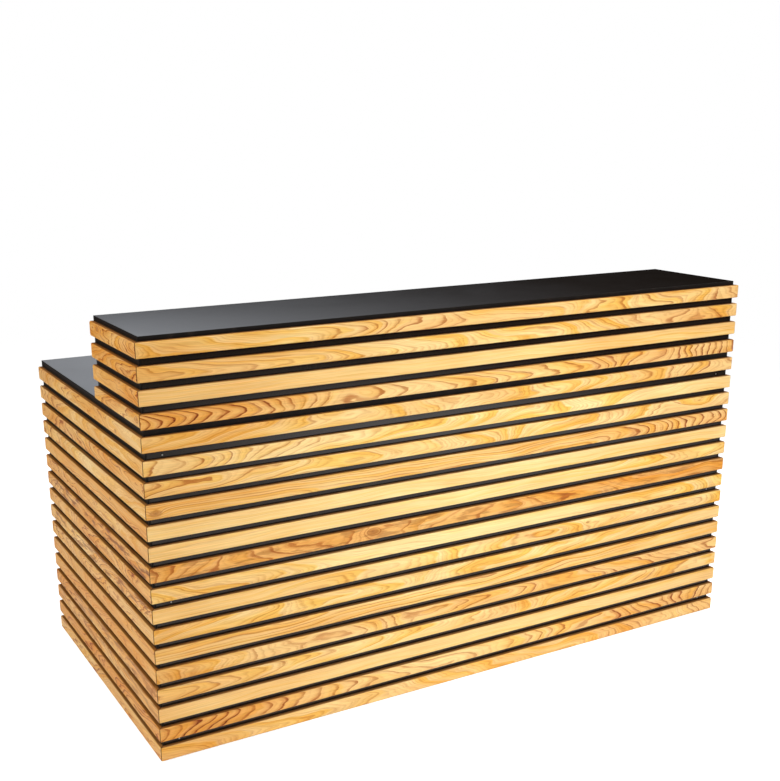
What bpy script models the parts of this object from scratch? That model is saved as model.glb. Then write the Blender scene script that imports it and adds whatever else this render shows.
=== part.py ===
"""Folding bar counter: a slatted front, two folding ends, a lift-off worktop and a raised bar on it.

Metres, +Z up. The slatted front faces -Y, the server stands behind it, and the middle of the
counter's foot is the origin. All pieces hang on a few driving dimensions and named clearances.
"""

import math

import bmesh
import bpy
from mathutils import Matrix, Vector

# Overall sizes
WIDTH = 1.960           # across the black end panels, slats not counted
DEPTH = 0.975           # front panel's face to a folding end's rear edge, under half the width
RISER_DEPTH = 0.360     # the same, for the raised bar

# Slat cladding
LOWER_ROWS = 16
RISER_ROWS = 4
SLAT_PITCH = 0.056      # from row to row of the lower part
RISER_PITCH = 0.0585    # the same, on the raised bar
TOP_ROW_RISE = 0.004    # added under the lower part's top row, which is level with its boards
SLAT_HEIGHT = 0.040
SLAT_PROUD = 0.012      # slat thickness, standing out from the black panels
SLAT_ROUND = 0.003      # rounding of the slats' outer edges
SLAT_SEAT = 0.001       # depth that an end's slats are let into its facing
FOLD_LIFT = 0.006       # space under the raised ends' lowest slat, to swing in over the worktop

# Boards
PANEL = 0.018
FACING = 0.003          # outer ply of a folding end, part of PANEL, that carries its slats
WORKTOP = 0.018
BAR_TOP = 0.012

# Piano hinges in the inner corners
KNUCKLE_RADIUS = 0.0035
KNUCKLE_LENGTH = 0.066
PIN_RADIUS = 0.0015
LEAF_WIDTH = 0.024
LEAF_THICK = 0.0015
HINGE_INSET = 0.020     # hinge ends to the panel's edges

# Dowels that locate the lift-off boards
DOWEL_RADIUS = 0.004
DOWEL_IN_PANEL = 0.020
DOWEL_IN_WORKTOP = 0.010
DOWEL_IN_BAR_TOP = 0.007
WORKTOP_DOWEL_INSET = 0.300
RISER_DOWEL_INSET = 0.420

# Magnets that hold the ends square, and the plates that they hold on to
MAGNET_RADIUS = 0.005
MAGNET_LENGTH = 0.010
MAGNET_INSET = 0.060    # from the end's rear edge
STRIKE_LENGTH = 0.040
STRIKE_WIDTH = 0.010
STRIKE_THICK = 0.0015

# Nail-in floor glides
GLIDE_RADIUS = 0.007
GLIDE_HEIGHT = 0.003
GLIDE_EDGE = 0.001      # rounding of the foot
NAIL_RADIUS = 0.0012
NAIL_LENGTH = 0.016
GLIDE_INSET = 0.050

# Clearances
SEAT_GAP = 0.0003       # between pieces that touch
CORNER_GAP = 0.0005     # folding end to front panel
SWING_GAP = 0.0006      # folding end to the board above or below it
MITRE_GAP = 0.0004      # each slat's cut, back from the corner's diagonal
KNUCKLE_GAP = 0.0004    # between knuckles, and from a knuckle to the other leaf

ROUND_SIDES = 16
HINGE_SIDES = 12
ROUND_STEPS = 2

# Places that follow from the sizes
HALF = WIDTH / 2
FRONT_Y = (SLAT_PROUD - DEPTH) / 2
INSIDE_Y = FRONT_Y + PANEL
REAR_Y = FRONT_Y + DEPTH
RISER_REAR_Y = FRONT_Y + RISER_DEPTH
FOOT_Z = GLIDE_HEIGHT
TOP_ROW_Z = FOOT_Z + (LOWER_ROWS - 1) * SLAT_PITCH + TOP_ROW_RISE
WORKTOP_Z = TOP_ROW_Z + SLAT_HEIGHT
RISER_Z = WORKTOP_Z + WORKTOP
BAR_TOP_Z = RISER_Z + (RISER_ROWS - 1) * RISER_PITCH + SLAT_HEIGHT
PANEL_MID_Y = FRONT_Y + PANEL / 2
CORE_MID_X = HALF - (PANEL + FACING + SEAT_GAP) / 2
AXIS_OFFSET = KNUCKLE_RADIUS + SEAT_GAP
AXIS_X = HALF - PANEL - AXIS_OFFSET
AXIS_Y = INSIDE_Y + AXIS_OFFSET
SIDES = {"left": -1, "right": 1}


# Scene, finishes and helpers

def empty_scene():
    for old in list(bpy.data.objects):
        bpy.data.objects.remove(old, do_unlink=True)


def new_collection(name):
    made = bpy.data.collections.new(name)
    bpy.context.scene.collection.children.link(made)
    return made


def finish(name, colour, roughness, metallic=0.0):
    material = bpy.data.materials.new(name)
    material.use_nodes = True
    shader = material.node_tree.nodes["Principled BSDF"]
    shader.inputs["Base Color"].default_value = (*colour, 1.0)
    shader.inputs["Roughness"].default_value = roughness
    shader.inputs["Metallic"].default_value = metallic
    return material


empty_scene()
PARTS = new_collection("folding_bar_counter")
CUTTERS = new_collection("folding_bar_counter_cutters")

PINE = finish("varnished_pine", (0.80, 0.52, 0.20), 0.45)
BLACK_BOARD = finish("black_film_faced_board", (0.020, 0.017, 0.015), 0.30)
STEEL = finish("zinc_plated_steel", (0.62, 0.62, 0.60), 0.35, 1.0)
BEECH = finish("beech_dowel", (0.66, 0.47, 0.30), 0.60)
GLIDE_PLASTIC = finish("grey_glide_plastic", (0.12, 0.12, 0.12), 0.50)
MAGNET_NICKEL = finish("nickel_plated_magnet", (0.70, 0.70, 0.68), 0.25, 1.0)


def carrier(name, place, on=None):
    """An empty on a joint's axis, which carries the pieces that move together."""
    made = bpy.data.objects.new(name, None)
    made.location = place
    made.empty_display_size = 0.05
    PARTS.objects.link(made)
    hang(made, on)
    return made


def hang(made, on):
    """Ties an object to its carrier and leaves it where it is."""
    if on is not None:
        made.parent = on
        made.matrix_parent_inverse = Matrix.Translation(on.location).inverted()


def mesh_from(name, bm):
    mesh = bpy.data.meshes.new(name)
    bm.to_mesh(mesh)
    bm.free()
    return mesh


def piece(name, mesh, material, on=None):
    made = bpy.data.objects.new(name, mesh)
    mesh.materials.append(material)
    PARTS.objects.link(made)
    hang(made, on)
    return made


def cutter(name, mesh):
    made = bpy.data.objects.new(name, mesh)
    made.hide_render = True
    made.display_type = "WIRE"
    CUTTERS.objects.link(made)
    return made


def boolean(target, tool, operation):
    step = target.modifiers.new(tool.name, "BOOLEAN")
    step.operation = operation
    step.object = tool


def smooth_round(mesh):
    mesh.shade_smooth()
    mesh.set_sharp_from_angle(angle=math.radians(40))


def add_box(bm, corner, opposite):
    """A cube stretched between two opposite corners, given in any order."""
    made = bmesh.ops.create_cube(bm, size=1.0)["verts"]
    for vert in made:
        for axis in range(3):
            pick = min if vert.co[axis] < 0 else max
            vert.co[axis] = pick(corner[axis], opposite[axis])
    return made


def box(name, corner, opposite):
    bm = bmesh.new()
    add_box(bm, corner, opposite)
    return mesh_from(name, bm)


def rod(name, x, y, bottom, top, radius, sides=ROUND_SIDES):
    bm = bmesh.new()
    middle = Matrix.Translation((x, y, (bottom + top) / 2))
    bmesh.ops.create_cone(bm, cap_ends=True, segments=sides, radius1=radius, radius2=radius,
                          depth=top - bottom, matrix=middle)
    mesh = mesh_from(name, bm)
    smooth_round(mesh)
    return mesh


def drill(target, name, x, y, bottom, top, radius):
    boolean(target, cutter(name, rod(name, x, y, bottom, top, radius)), "DIFFERENCE")


# Slats and panels

def add_slat(bm, start, end, back, low, high, round_end, place):
    """One slat, laid out by its run, its depth out from the panel, and its height.

    Its start is mitred, and its end is mitred or rounded. The place matrix lays it on its panel.
    """
    verts = add_box(bm, (start, back, low), (end, SLAT_PROUD, high))
    edges = {edge for vert in verts for edge in vert.link_edges}
    middle = (start + end) / 2
    outer = []
    for edge in edges:
        a, b = (vert.co for vert in edge.verts)
        on_face = min(a.y, b.y) > back + SEAT_GAP
        is_long = abs(a.x - b.x) > 0
        at_end = min(a.x, b.x) > middle
        if on_face and (is_long or (round_end and at_end)):
            outer.append(edge)
    bevelled = bmesh.ops.bevel(bm, geom=outer, offset=SLAT_ROUND, segments=ROUND_STEPS, profile=0.5,
                               affect="EDGES", clamp_overlap=True)
    verts = {vert for vert in verts if vert.is_valid} | set(bevelled["verts"])
    for vert in verts:
        run, depth, height = vert.co
        if run < middle:
            run = start - depth + MITRE_GAP
        elif not round_end:
            run = end + depth - MITRE_GAP
        vert.co = place @ Vector((run, depth, height))
    if place.determinant() < 0:
        faces = {face for vert in verts for face in vert.link_faces}
        bmesh.ops.reverse_faces(bm, faces=list(faces))


def on_front():
    """Run goes to +X, and depth out to the guests."""
    return Matrix(((1, 0, 0, 0), (0, -1, 0, FRONT_Y), (0, 0, 1, 0), (0, 0, 0, 1)))


def on_end(side):
    """Run goes back from the front, and depth out to the side."""
    return Matrix(((0, side, 0, side * HALF), (1, 0, 0, FRONT_Y), (0, 0, 1, 0), (0, 0, 0, 1)))


def front_slat(name, low, on=None):
    bm = bmesh.new()
    add_slat(bm, -HALF, HALF, SEAT_GAP, low, low + SLAT_HEIGHT, False, on_front())
    piece(name, mesh_from(name, bm), PINE, on)


def end_cladding(name, side, depth, low, high, rows, on):
    """A folding end's outer facing with its slats, which turn the corner to the front's mitres.

    No slat stands above the facing, so that the end swings clear of the board over it.
    """
    outside = side * HALF
    facing = box(name, (outside, FRONT_Y, low), (outside - side * FACING, FRONT_Y + depth, high))
    made = piece(name, facing, BLACK_BOARD, on)
    bm = bmesh.new()
    for row_low, row_high in rows:
        add_slat(bm, 0.0, depth, -SLAT_SEAT, row_low, min(row_high, high), True, on_end(side))
    slats = cutter(name + "_slats", mesh_from(name + "_slats", bm))
    slats.data.materials.append(PINE)
    boolean(made, slats, "UNION")
    made.modifiers[slats.name].material_mode = "TRANSFER"


def end_panel(name, side, depth, low, high, on):
    inside = side * (HALF - PANEL)
    outside = side * (HALF - FACING - SEAT_GAP)
    core = box(name, (inside, INSIDE_Y + CORNER_GAP, low), (outside, FRONT_Y + depth, high))
    return piece(name, core, BLACK_BOARD, on)


def cross_panel(name, low, high, on=None):
    """The full-width board behind the front slats, which fits between the two ends' facings."""
    reach = HALF - FACING - SEAT_GAP
    return piece(name, box(name, (-reach, FRONT_Y, low), (reach, INSIDE_Y, high)), BLACK_BOARD, on)


# Hinges, dowels, magnets and glides

def hinge_leaf(name, axis, along, toward, low, high, own, on):
    """A leaf with its knuckles: along runs from the axis down the leaf, toward points at the panel."""
    along = Vector((*along, 0))
    toward = Vector((*toward, 0))
    foot = Vector((*axis, low))
    head = Vector((*axis, high))
    back = toward * KNUCKLE_RADIUS
    front = toward * (KNUCKLE_RADIUS - LEAF_THICK)
    made = piece(name, box(name, foot + front, head + along * LEAF_WIDTH + back), STEEL, on)
    barrel = name + "_barrel"
    boolean(made, cutter(barrel, rod(barrel, *axis, low, high, KNUCKLE_RADIUS, HINGE_SIDES)), "UNION")
    count = knuckle_count(low, high)
    length = (high - low) / count
    reach = KNUCKLE_RADIUS + KNUCKLE_GAP
    bm = bmesh.new()
    for index in range(count):
        if index % 2 != own:
            gap_low = foot + Vector((0, 0, index * length - KNUCKLE_GAP))
            gap_high = foot + Vector((0, 0, (index + 1) * length + KNUCKLE_GAP))
            add_box(bm, gap_low - (along + toward) * reach, gap_high + (along + toward) * reach)
    notches = name + "_notches"
    boolean(made, cutter(notches, mesh_from(notches, bm)), "DIFFERENCE")
    bore = name + "_bore"
    bore_mesh = rod(bore, *axis, low - KNUCKLE_RADIUS, high + KNUCKLE_RADIUS, PIN_RADIUS + SEAT_GAP,
                    HINGE_SIDES)
    boolean(made, cutter(bore, bore_mesh), "DIFFERENCE")


def knuckle_count(low, high):
    """An odd number of knuckles, so that the front leaf holds both ends of the pin."""
    pairs = round(((high - low) / KNUCKLE_LENGTH - 1) / 2)
    return 2 * max(1, pairs) + 1


def piano_hinge(name, side, low, high, front, end):
    axis = (side * AXIS_X, AXIS_Y)
    low = low + HINGE_INSET
    high = high - HINGE_INSET
    hinge_leaf(name + "_front_leaf", axis, (-side, 0), (0, -1), low, high, 0, front)
    hinge_leaf(name + "_end_leaf", axis, (0, 1), (side, 0), low, high, 1, end)
    pin = name + "_pin"
    piece(pin, rod(pin, *axis, low, high, PIN_RADIUS, HINGE_SIDES), STEEL, front)


def dowel(name, x, level, lower, lower_depth, upper, upper_depth, on=None):
    """A dowel across the seat between two boards, with a hole in each of them."""
    bottom = level - lower_depth
    top = level + upper_depth
    y = PANEL_MID_Y
    piece(name, rod(name, x, y, bottom + SEAT_GAP, top - SEAT_GAP, DOWEL_RADIUS), BEECH, on)
    drill(lower, name + "_lower_hole", x, y, bottom, level + DOWEL_RADIUS, DOWEL_RADIUS + SEAT_GAP)
    drill(upper, name + "_upper_hole", x, y, level - DOWEL_RADIUS, top, DOWEL_RADIUS + SEAT_GAP)


def magnet_catch(side_name, side, panel, worktop, end, board):
    """A magnet in the top edge of a folding end, under a plate let into the worktop."""
    x = side * CORE_MID_X
    y = REAR_Y - MAGNET_INSET
    top = WORKTOP_Z - SWING_GAP
    bottom = top - MAGNET_LENGTH
    magnet = side_name + "_end_magnet"
    piece(magnet, rod(magnet, x, y, bottom, top, MAGNET_RADIUS), MAGNET_NICKEL, end)
    drill(panel, magnet + "_hole", x, y, bottom - SEAT_GAP, top + MAGNET_RADIUS,
          MAGNET_RADIUS + SEAT_GAP)
    strike = side_name + "_strike_plate"
    half = Vector((STRIKE_WIDTH / 2, STRIKE_LENGTH / 2, 0))
    middle = Vector((x, y, WORKTOP_Z))
    rise = Vector((0, 0, STRIKE_THICK))
    piece(strike, box(strike, middle - half, middle + half + rise), STEEL, board)
    room = Vector((SEAT_GAP, SEAT_GAP, SEAT_GAP))
    below = Vector((0, 0, STRIKE_THICK))
    recess = box(strike + "_recess", middle - half - room - below, middle + half + rise + room)
    boolean(worktop, cutter(strike + "_recess", recess), "DIFFERENCE")


def glide(name, x, y, panel, on=None):
    """A nail-in foot, turned from its half outline."""
    seat = -SEAT_GAP
    sole = -GLIDE_HEIGHT
    outline = (
        (0.0, NAIL_LENGTH),
        (NAIL_RADIUS, NAIL_LENGTH - NAIL_RADIUS),
        (NAIL_RADIUS, seat),
        (GLIDE_RADIUS, seat),
        (GLIDE_RADIUS, sole + GLIDE_EDGE),
        (GLIDE_RADIUS - GLIDE_EDGE, sole),
        (0.0, sole),
    )
    bm = bmesh.new()
    points = [bm.verts.new((radius, 0.0, height)) for radius, height in outline]
    for a, b in zip(points, points[1:]):
        bm.edges.new((a, b))
    mesh = bpy.data.meshes.new(name)
    bm.to_mesh(mesh)
    bm.free()
    made = piece(name, mesh, GLIDE_PLASTIC, on)
    made.location = (x, y, FOOT_Z)
    turn = made.modifiers.new("turn", "SCREW")
    turn.axis = "Z"
    turn.steps = ROUND_SIDES
    turn.render_steps = ROUND_SIDES
    turn.use_merge_vertices = True
    turn.merge_threshold = 0.0001
    drill(panel, name + "_hole", x, y, FOOT_Z - GLIDE_HEIGHT, FOOT_Z + NAIL_LENGTH + SEAT_GAP,
          NAIL_RADIUS + SEAT_GAP)


# The counter, from the floor up

def row_spans(first_low, count, pitch):
    lows = [first_low + k * pitch for k in range(count)]
    return [(low, low + SLAT_HEIGHT) for low in lows]


def lower_rows():
    return row_spans(FOOT_Z, LOWER_ROWS - 1, SLAT_PITCH) + [(TOP_ROW_Z, WORKTOP_Z)]


def riser_rows():
    return row_spans(RISER_Z, RISER_ROWS, RISER_PITCH)


def build_front():
    panel = cross_panel("front_panel", FOOT_Z, WORKTOP_Z - SEAT_GAP)
    total = LOWER_ROWS + RISER_ROWS
    for k, (low, _) in enumerate(lower_rows()):
        front_slat(f"front_slat_{total - k:02d}", low)
    reach = HALF - GLIDE_INSET
    for name, x in (("left", -reach), ("middle", 0.0), ("right", reach)):
        glide(f"front_{name}_glide", x, PANEL_MID_Y, panel)
    return panel


def build_lower_end(side_name, side, worktop, board):
    end = carrier(f"{side_name}_end_axis", (side * AXIS_X, AXIS_Y, FOOT_Z))
    top = WORKTOP_Z - SWING_GAP
    panel = end_panel(f"{side_name}_end_panel", side, DEPTH, FOOT_Z, top, end)
    end_cladding(f"{side_name}_end_cladding", side, DEPTH, FOOT_Z, top, lower_rows(), end)
    piano_hinge(f"{side_name}_hinge", side, FOOT_Z, top, None, end)
    magnet_catch(side_name, side, panel, worktop, end, board)
    glide(f"{side_name}_end_glide", side * CORE_MID_X, REAR_Y - GLIDE_INSET, panel, end)


def build_worktop(front_panel, board):
    slab = box("worktop", (-HALF, FRONT_Y, WORKTOP_Z), (HALF, REAR_Y, RISER_Z))
    worktop = piece("worktop", slab, BLACK_BOARD, board)
    for side_name, side in SIDES.items():
        x = side * (HALF - WORKTOP_DOWEL_INSET)
        dowel(f"{side_name}_worktop_dowel", x, WORKTOP_Z, front_panel, DOWEL_IN_PANEL,
              worktop, DOWEL_IN_WORKTOP)
    return worktop


def build_riser(worktop, board):
    riser = carrier("riser_seat", (0.0, PANEL_MID_Y, RISER_Z), board)
    panel = cross_panel("riser_panel", RISER_Z + SEAT_GAP, BAR_TOP_Z - SEAT_GAP, riser)
    for k, (low, _) in enumerate(riser_rows()):
        front_slat(f"riser_slat_{RISER_ROWS - k:02d}", low, riser)
    for side_name, side in SIDES.items():
        x = side * (HALF - RISER_DOWEL_INSET)
        dowel(f"{side_name}_riser_dowel", x, RISER_Z, worktop, DOWEL_IN_WORKTOP,
              panel, DOWEL_IN_PANEL, board)
    return panel, riser


def build_riser_end(side_name, side, riser):
    end = carrier(f"riser_{side_name}_end_axis", (side * AXIS_X, AXIS_Y, RISER_Z), riser)
    low = RISER_Z + SWING_GAP
    top = BAR_TOP_Z - SWING_GAP
    end_panel(f"riser_{side_name}_end_panel", side, RISER_DEPTH, low, top, end)
    rows = [(max(row_low, RISER_Z + FOLD_LIFT), row_high) for row_low, row_high in riser_rows()]
    end_cladding(f"riser_{side_name}_end_cladding", side, RISER_DEPTH, low, top, rows, end)
    piano_hinge(f"riser_{side_name}_hinge", side, low, top, riser, end)


def build_bar_top(riser_panel, riser):
    seat = carrier("bar_top_seat", (0.0, PANEL_MID_Y, BAR_TOP_Z), riser)
    slab = box("bar_top", (-HALF, FRONT_Y, BAR_TOP_Z), (HALF, RISER_REAR_Y, BAR_TOP_Z + BAR_TOP))
    bar_top = piece("bar_top", slab, BLACK_BOARD, seat)
    for side_name, side in SIDES.items():
        x = side * (HALF - WORKTOP_DOWEL_INSET)
        dowel(f"{side_name}_bar_top_dowel", x, BAR_TOP_Z, riser_panel, DOWEL_IN_PANEL,
              bar_top, DOWEL_IN_BAR_TOP, riser)


def build_counter():
    front_panel = build_front()
    board = carrier("worktop_seat", (0.0, PANEL_MID_Y, WORKTOP_Z))
    worktop = build_worktop(front_panel, board)
    for side_name, side in SIDES.items():
        build_lower_end(side_name, side, worktop, board)
    riser_panel, riser = build_riser(worktop, board)
    for side_name, side in SIDES.items():
        build_riser_end(side_name, side, riser)
    build_bar_top(riser_panel, riser)


build_counter()
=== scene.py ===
# %% [markdown]
# # A folding bar counter, dressed for a photograph
#
# The counter is a shop and party bar: black film-faced boards, clad outside with varnished
# softwood slats, with a worktop inside and a raised bar over the front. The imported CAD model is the
# fixed frame of this lesson. It holds every board, hinge and dowel at its true size. Here each
# visible piece is modelled again with finer edges, and gets a finish made of nodes.
#
# The frame comes first. It could be rebuilt from numbers, but then the two models could drift apart,
# so all places below are measured from it.

import math
import random

import bmesh
import bpy
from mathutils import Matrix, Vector


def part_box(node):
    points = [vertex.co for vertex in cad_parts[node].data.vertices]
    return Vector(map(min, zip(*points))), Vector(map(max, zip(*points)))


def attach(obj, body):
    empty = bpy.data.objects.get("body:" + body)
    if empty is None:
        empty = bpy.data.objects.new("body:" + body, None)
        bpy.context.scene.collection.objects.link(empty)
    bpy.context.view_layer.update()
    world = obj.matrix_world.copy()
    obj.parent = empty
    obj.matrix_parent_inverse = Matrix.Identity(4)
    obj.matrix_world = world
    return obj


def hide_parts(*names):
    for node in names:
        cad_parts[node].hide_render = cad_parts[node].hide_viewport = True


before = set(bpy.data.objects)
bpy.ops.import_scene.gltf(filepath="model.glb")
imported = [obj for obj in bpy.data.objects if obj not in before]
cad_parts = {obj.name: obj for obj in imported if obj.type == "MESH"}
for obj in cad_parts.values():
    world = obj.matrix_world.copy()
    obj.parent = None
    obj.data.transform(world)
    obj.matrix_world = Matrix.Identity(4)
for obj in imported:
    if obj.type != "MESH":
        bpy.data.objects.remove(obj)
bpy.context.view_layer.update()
bpy.ops.object.select_all(action="DESELECT")

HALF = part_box("worktop")[1].x  # middle of the counter to the black end faces
FRONT_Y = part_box("front_panel")[0].y  # the front board's face, under the slats
INSIDE_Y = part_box("front_panel")[1].y
REAR_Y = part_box("worktop")[1].y
RISER_REAR_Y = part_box("bar_top")[1].y
FOOT_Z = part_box("front_panel")[0].z
SLAT_FACE_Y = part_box("front_slat_20")[0].y
SLAT_PROUD = FRONT_Y - SLAT_FACE_Y
SLAT_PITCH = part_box("front_slat_19")[0].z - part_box("front_slat_20")[0].z
SLAT_HALF = (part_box("front_slat_20")[1].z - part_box("front_slat_20")[0].z) / 2
ROWS = 20  # counted from the top
RISER_ROWS = 4  # of them, on the raised bar
SIDES = {"left": -1, "right": 1}
INWARD = {"left": "right", "right": "left"}


def row_node(row):
    return f"front_slat_{row:02d}" if row > RISER_ROWS else f"riser_slat_{row:02d}"


def row_low(row):
    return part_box(row_node(row))[0].z


def row_rear(row):
    return REAR_Y if row > RISER_ROWS else RISER_REAR_Y


def middle_of(node):
    low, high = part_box(node)
    return (low + high) / 2


print("half width", round(HALF, 4), "slats proud", round(SLAT_PROUD, 4), "pitch", round(SLAT_PITCH, 4))

# %% [markdown]
# ## The camera
#
# The photograph looks at the counter's left front corner from a little above the bar. A camera
# could be placed by eye, but known corners of the counter fix it far better: this place, turn and
# lens put them within a few pixels. The counter stands low in the picture, so the lens is shifted
# up a little and the upright edges stay as upright as they are in the photograph.

# %% Camera
CAMERA_PLACE = (-1.8175, -3.1033, 1.6205)
CAMERA_TURN = math.radians(30.257)  # from straight back, towards the right
CAMERA_DOWN = math.radians(16.878)
SENSOR = 36  # mm
LENS = 52.888  # mm
LENS_SHIFT = 0.1006

bpy.ops.object.camera_add(location=CAMERA_PLACE,
                          rotation=(math.radians(90) - CAMERA_DOWN, 0, -CAMERA_TURN))
camera = bpy.context.object
camera.name = "camera"
camera.data.lens = LENS
camera.data.sensor_width = SENSOR
camera.data.shift_y = LENS_SHIFT
bpy.context.scene.camera = camera
print("camera at", tuple(round(c, 3) for c in camera.location), "lens", LENS)

# %% [markdown]
# ## Nodes by name
#
# Every finish below is a tree of nodes. Adding one by hand is a menu, a drag and a few typed values.
# These helpers do the same in one line: they add a node, set its options, and either type a value
# into an input or plug another node's output into it. An output knows the tree that it stands in, so
# a node that it is plugged into goes into the same tree.

# %% Node helpers
NODE_STEP = 170  # how far apart the nodes lie in the editor
NODES_IN_ROW = 12


def add_node(tree, kind, inputs, **options):
    """The outputs of a new node, with its options set, and its inputs typed in or plugged in."""
    made = tree.nodes.new(kind)
    row, column = divmod(len(tree.nodes), NODES_IN_ROW)
    made.location = (NODE_STEP * column, -NODE_STEP * row)
    for name, value in options.items():
        setattr(made, name, value)
    for name, value in inputs.items():
        if isinstance(value, bpy.types.NodeSocket):
            tree.links.new(value, made.inputs[name])
        else:
            made.inputs[name].default_value = value
    return made.outputs


def start(owner, kind, **options):
    """A node that nothing is plugged into, in the tree of a material or of the world."""
    return add_node(owner.node_tree, kind, {}, **options)


def feed(kind, inputs, **options):
    """A node that an output is plugged into, in the tree of that output."""
    tree = next(value.id_data for value in inputs.values() if isinstance(value, bpy.types.NodeSocket))
    return add_node(tree, kind, inputs, **options)


def plug(sockets, **sources):
    """Plugs outputs into the named inputs of a shader, or of a group's end."""
    for name, source in sources.items():
        source.id_data.links.new(source, sockets[name.replace("_", " ")])


def calc(operation, *values, clamp=False):
    return feed("ShaderNodeMath", dict(enumerate(values)), operation=operation, use_clamp=clamp)[0]


def times(first, second):
    return calc("MULTIPLY", first, second)


def plus(first, second):
    return calc("ADD", first, second)


def minus(first, second):
    return calc("SUBTRACT", first, second)


def scaled(value, factor, base):
    """The value, multiplied, on top of a base."""
    return calc("MULTIPLY_ADD", value, factor, base)


def ease(value, low, high, to_low=0.0, to_high=1.0, how="SMOOTHSTEP"):
    """The value eased from one range to another, flat outside it."""
    limits = {"Value": value, "From Min": low, "From Max": high, "To Min": to_low, "To Max": to_high}
    return feed("ShaderNodeMapRange", limits, interpolation_type=how)[0]


def mix(share, first, second):
    return feed("ShaderNodeMix", {0: share, 2: first, 3: second})[0]


def mix_colour(share, first, second, blend="MIX"):
    options = {"data_type": "RGBA", "blend_type": blend}
    return feed("ShaderNodeMix", {0: share, 6: first, 7: second}, **options)[2]


def noise(place, scale, detail=2.0, roughness=0.5, distortion=0.0):
    values = {"Vector": place, "Scale": scale, "Detail": detail, "Roughness": roughness,
              "Distortion": distortion}
    return feed("ShaderNodeTexNoise", values)["Fac"]


def drawn_noise(place, factors, *how):
    """Noise that is long one way and fine the other: the place is multiplied along each axis first."""
    drawn = feed("ShaderNodeVectorMath", {0: place, 1: factors}, operation="MULTIPLY")[0]
    return noise(drawn, 1.0, *how)


def parts(vector):
    return feed("ShaderNodeSeparateXYZ", {0: vector})


def distance(place, other):
    return feed("ShaderNodeVectorMath", {0: place, 1: other}, operation="DISTANCE")["Value"]


def bump(height, size, strength):
    values = {"Height": height, "Distance": size, "Strength": strength}
    return feed("ShaderNodeBump", values)["Normal"]


print("node helpers ready")

# %% [markdown]
# A finish is a material. What is the same all over it is typed into its shader, and only what varies
# is plugged in. An effect that several finishes share is a group: a small tree of its own, with named
# inputs and outputs.

# %% Materials and groups
def new_material(name, **constants):
    """A material, and its shader's inputs with the constant ones typed in."""
    material = bpy.data.materials.new(name)
    material.use_nodes = True
    shader = material.node_tree.nodes["Principled BSDF"].inputs
    for socket, value in constants.items():
        shader[socket.replace("_", " ")].default_value = value
    return material, shader


def object_place(material):
    return start(material, "ShaderNodeTexCoord")["Object"]


def new_group(name, inputs, outputs):
    """An empty node group with named sockets, and its input and output nodes."""
    tree = bpy.data.node_groups.new(name, "ShaderNodeTree")
    for direction, sockets in (("INPUT", inputs), ("OUTPUT", outputs)):
        for socket, kind in sockets:
            tree.interface.new_socket(name=socket, in_out=direction, socket_type="NodeSocket" + kind)
    return tree, tree.nodes.new("NodeGroupInput").outputs, tree.nodes.new("NodeGroupOutput").inputs


def use_group(group, **values):
    return feed("ShaderNodeGroup", values, node_tree=group)


print("materials so far", len(bpy.data.materials))

# %% [markdown]
# ## The floor
#
# The photograph is a studio shot on white. A pale paper floor takes a soft shadow under the slats and
# fades out before its edge shows. A plain white plane would do for that, but the boards between the
# slats are black mirrors. On the lower part they look down at the floor, whose bright patch in front
# gives the upper gaps a cool grey. Behind, between the ends, it is as bright to a mirror as it is to
# the camera, so the inner boards don't turn into a black hole. Only mirrors see these two patches.

# %% Floor
FLOOR_SIZE = 14
FLOOR_FADE = (2.2, 6.0)  # metres from the counter's middle
PAPER = ((0.86, 0.86, 0.86, 1), (0.90, 0.90, 0.90, 1))
GLOW_PLACE = (1.70, -3.5, 0.0)  # the middle of the patch in front
GLOW_FADE = (0.2, 2.0)  # metres from there
GLOW = 2.1
FLOOR_GLOW = 0.6  # all over, as the camera sees it
BRIGHT_BEHIND = (-0.3, 0.9)  # the depths between which the patch behind begins
BRIGHT_BETWEEN = (0.75, 0.97)  # how far it reaches to either side of the middle

bpy.ops.mesh.primitive_plane_add(size=FLOOR_SIZE, location=(0, 0, 0))
floor = bpy.context.object
floor.name = "studio_floor"

floor_paper, shader = new_material("floor_paper", Roughness=0.9, Specular_IOR_Level=0.1,
                                   Emission_Color=(1, 1, 1, 1))
spot = object_place(floor_paper)
rays = start(floor_paper, "ShaderNodeLightPath")
right, back, _ = parts(spot)
in_front = ease(distance(spot, GLOW_PLACE), *GLOW_FADE, GLOW, 0.0)
behind = ease(back, *BRIGHT_BEHIND, 0.0, FLOOR_GLOW)
between = ease(calc("ABSOLUTE", right), *BRIGHT_BETWEEN, 1.0, 0.0)
mirrored_glow = times(rays["Is Glossy Ray"], scaled(behind, between, in_front))
plug(shader, Base_Color=mix_colour(noise(spot, 900, 3), *PAPER),
     Alpha=ease(distance(spot, (0, 0, 0)), *FLOOR_FADE, 1.0, 0.0),
     Emission_Strength=scaled(rays["Is Camera Ray"], FLOOR_GLOW, mirrored_glow))
floor.data.materials.append(floor_paper)
print("floor", floor.name, "fading between", FLOOR_FADE)

# %% [markdown]
# ## The light
#
# The light is one large soft box in front, another on the left, and a pale room around. An even room
# would be simpler, but the black tops mirror the room behind at a very low angle. They are grey at the
# near left corner and fade to black at the far right one, so the wall behind is dark at its foot, pale
# above, and falls off into shade to the right. The raised bar's boards mirror the dark curtain behind
# the photographer. The soft boxes would show as white squares in the tops, so reflections leave them
# out.

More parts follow.
